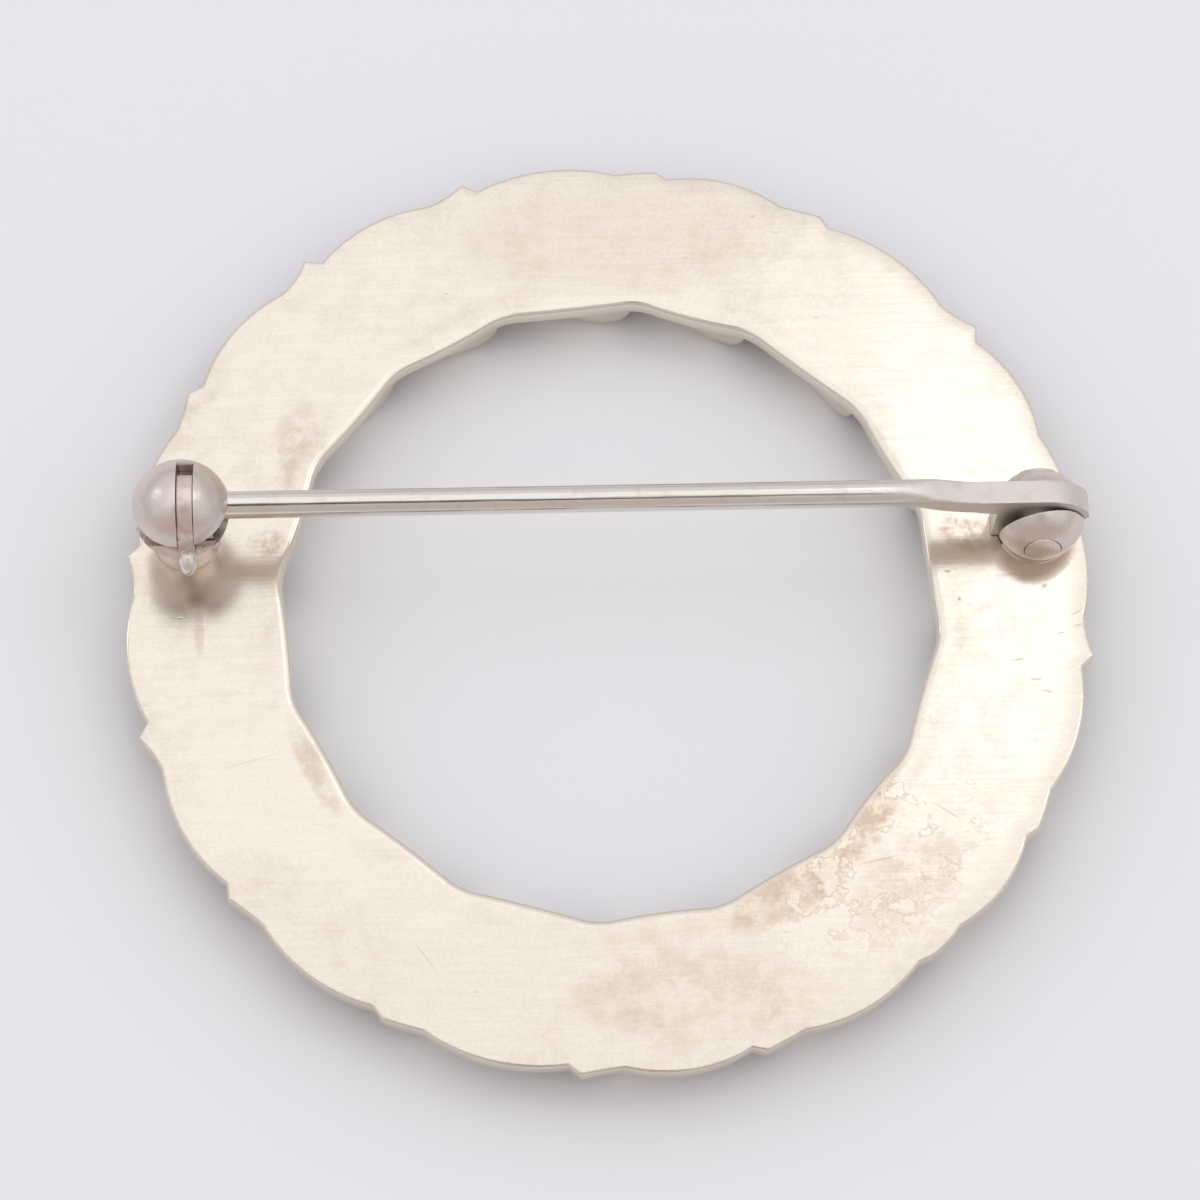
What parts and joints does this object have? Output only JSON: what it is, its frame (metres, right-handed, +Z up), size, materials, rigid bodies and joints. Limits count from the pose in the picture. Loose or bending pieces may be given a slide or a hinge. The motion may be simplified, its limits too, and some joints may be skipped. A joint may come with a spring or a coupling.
{
  "type": "circle brooch",
  "caption": "Round open wreath brooch of cast silver, lying face down, with a hinged pin stem across the back and a ball catch with a turning lock.",
  "frame": {"origin": "centre of the ring, on the surface that its front's leaves rest on", "axes": "+Z up out of the brooch's back, +X along the pin stem from the catch to the hinge, +Y across it"},
  "size_m": [0.0458, 0.0458, 0.0096],
  "materials": {
    "ring_silver": "sterling silver, satin-polished back with brown tarnish at its edges",
    "rivet_silver": "filed silver, greyed",
    "stem_silver": "hard-drawn silver, polished",
    "lock_silver": "cast silver, greyed by tarnish"
  },
  "bodies": {
    "brooch": {"wreath_ring": "ring_silver", "hinge_rivet": "rivet_silver"},
    "stem": {"pin_stem": "stem_silver"},
    "lock": {"catch_lock": "lock_silver"}
  },
  "joints": [
    {"name": "pin_swing", "type": "hinge", "parent": "brooch", "child": "stem", "pos_m": [0.02046, 0.00365, 0.0049], "axis": [0, 1, 0], "range_deg": [0, 60]},
    {"name": "catch_turn", "type": "hinge", "parent": "brooch", "child": "lock", "pos_m": [-0.01972, 0.0035, 0.0073], "axis": [-1, 0, 0], "range_deg": [0, 70]}
  ]
}
